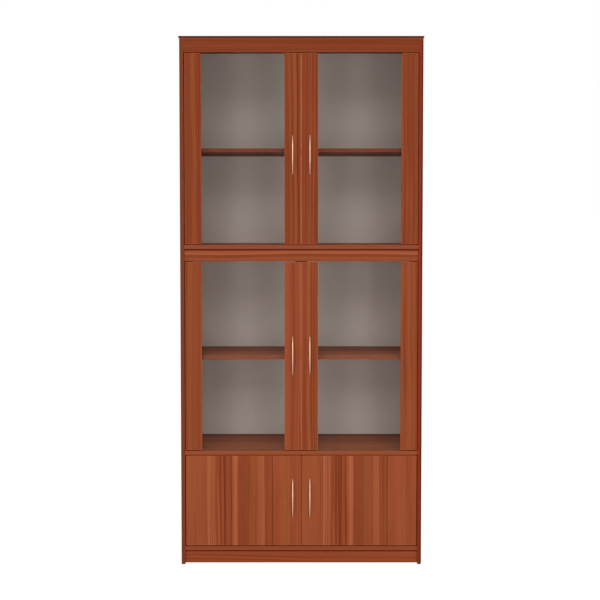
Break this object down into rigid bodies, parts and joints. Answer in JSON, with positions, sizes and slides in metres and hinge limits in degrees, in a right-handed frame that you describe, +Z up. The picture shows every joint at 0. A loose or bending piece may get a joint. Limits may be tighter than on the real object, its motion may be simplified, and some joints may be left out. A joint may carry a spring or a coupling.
{
  "type": "bookcase",
  "caption": "Tall bookcase in red-brown board with inset glass doors on pivot hinges, loose shelves behind them and a wooden-door cupboard at the base.",
  "frame": {"origin": "on the floor under the middle of the bounding box", "axes": "+Z up, +Y towards the back, +X to the right as seen from the front"},
  "size_m": [0.92, 0.425, 2],
  "materials": {
    "mahogany_laminate": "satin, straight streaky grain",
    "grey_hardboard": "matt, plain",
    "clear_glass": "polished clear",
    "satin_nickel": "satin plated",
    "bright_steel": "zinc plated",
    "zinc": "die cast, dull",
    "bronzed_steel": "dark bronzed",
    "nylon": "moulded, brown",
    "black_plastic": "moulded, fine grain",
    "brown_plastic": "moulded",
    "beech": "raw"
  },
  "bodies": {
    "carcass": {"left_side_panel": "mahogany_laminate", "right_side_panel": "mahogany_laminate", "top_panel": "mahogany_laminate", "top_rail": "mahogany_laminate", "middle_panel": "mahogany_laminate", "middle_rail": "mahogany_laminate", "lower_panel": "mahogany_laminate", "bottom_panel": "mahogany_laminate", "front_plinth": "mahogany_laminate", "rear_plinth": "mahogany_laminate", "upper_shelf": "mahogany_laminate", "lower_shelf": "mahogany_laminate", "upper_back_panel": "grey_hardboard", "lower_back_panel": "grey_hardboard", "shelf_pins": "bright_steel", "pivot_bushes": "nylon", "glide_feet": "black_plastic", "cam_locks": "zinc", "cam_bolts": "bright_steel", "dowels": "beech", "magnetic_catches": "brown_plastic"},
    "upper_left_door": {"upper_left_hinge_stile": "mahogany_laminate", "upper_left_pull_stile": "mahogany_laminate", "upper_left_glass": "clear_glass", "upper_left_handle": "satin_nickel", "upper_left_handle_screws": "bright_steel", "upper_left_pivots": "bronzed_steel", "upper_left_strike_plate": "bright_steel"},
    "upper_right_door": {"upper_right_hinge_stile": "mahogany_laminate", "upper_right_pull_stile": "mahogany_laminate", "upper_right_glass": "clear_glass", "upper_right_handle": "satin_nickel", "upper_right_handle_screws": "bright_steel", "upper_right_pivots": "bronzed_steel", "upper_right_strike_plate": "bright_steel"},
    "lower_left_door": {"lower_left_hinge_stile": "mahogany_laminate", "lower_left_pull_stile": "mahogany_laminate", "lower_left_glass": "clear_glass", "lower_left_handle": "satin_nickel", "lower_left_handle_screws": "bright_steel", "lower_left_pivots": "bronzed_steel", "lower_left_strike_plate": "bright_steel"},
    "lower_right_door": {"lower_right_hinge_stile": "mahogany_laminate", "lower_right_pull_stile": "mahogany_laminate", "lower_right_glass": "clear_glass", "lower_right_handle": "satin_nickel", "lower_right_handle_screws": "bright_steel", "lower_right_pivots": "bronzed_steel", "lower_right_strike_plate": "bright_steel"},
    "cupboard_left_door": {"cupboard_left_panel": "mahogany_laminate", "cupboard_left_handle": "satin_nickel", "cupboard_left_handle_screws": "bright_steel", "cupboard_left_pivots": "bronzed_steel", "cupboard_left_strike_plate": "bright_steel"},
    "cupboard_right_door": {"cupboard_right_panel": "mahogany_laminate", "cupboard_right_handle": "satin_nickel", "cupboard_right_handle_screws": "bright_steel", "cupboard_right_pivots": "bronzed_steel", "cupboard_right_strike_plate": "bright_steel"}
  },
  "joints": [
    {"name": "upper_left_hinge", "type": "hinge", "parent": "carcass", "child": "upper_left_door", "pos_m": [-0.417, -0.174, 0], "axis": [0, 0, -1], "range_deg": [0, 110]},
    {"name": "upper_right_hinge", "type": "hinge", "parent": "carcass", "child": "upper_right_door", "pos_m": [0.417, -0.174, 0], "axis": [0, 0, 1], "range_deg": [0, 110]},
    {"name": "lower_left_hinge", "type": "hinge", "parent": "carcass", "child": "lower_left_door", "pos_m": [-0.417, -0.174, 0], "axis": [0, 0, -1], "range_deg": [0, 110]},
    {"name": "lower_right_hinge", "type": "hinge", "parent": "carcass", "child": "lower_right_door", "pos_m": [0.417, -0.174, 0], "axis": [0, 0, 1], "range_deg": [0, 110]},
    {"name": "cupboard_left_hinge", "type": "hinge", "parent": "carcass", "child": "cupboard_left_door", "pos_m": [-0.417, -0.174, 0], "axis": [0, 0, -1], "range_deg": [0, 110]},
    {"name": "cupboard_right_hinge", "type": "hinge", "parent": "carcass", "child": "cupboard_right_door", "pos_m": [0.417, -0.174, 0], "axis": [0, 0, 1], "range_deg": [0, 110]}
  ]
}
